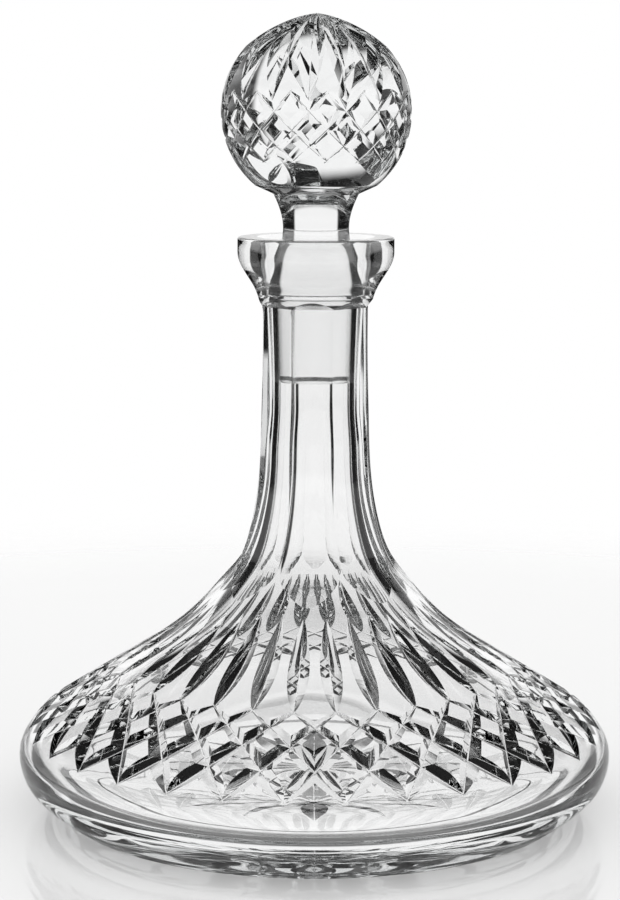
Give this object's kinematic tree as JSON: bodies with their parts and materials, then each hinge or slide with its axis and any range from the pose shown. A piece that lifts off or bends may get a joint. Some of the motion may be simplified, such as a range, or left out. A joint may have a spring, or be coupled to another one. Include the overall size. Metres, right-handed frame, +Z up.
{
  "type": "ships decanter",
  "caption": "Ship's decanter in clear cut crystal: a wide low body that doesn't tip over, a panelled neck with a flared mouth, and a loose cut ball stopper.",
  "frame": {"origin": "centre of the foot ring, on the surface that the decanter stands on", "axes": "+Z up along the axis of the neck and stopper; -Y is the side that faces the camera in the picture; +X to the right of it"},
  "size_m": [0.1924, 0.1924, 0.255],
  "materials": {
    "crystal_body": "clear lead crystal, polished, mitre cut",
    "crystal_stopper": "clear lead crystal, polished, mitre cut; the plug is ground"
  },
  "bodies": {
    "decanter": {"decanter_body": "crystal_body"},
    "stopper": {"stopper": "crystal_stopper"}
  },
  "joints": [
    {"name": "stopper_lift", "type": "slide", "parent": "decanter", "child": "stopper", "axis": [0, 0, 1], "range_m": [0, 0.06]}
  ]
}
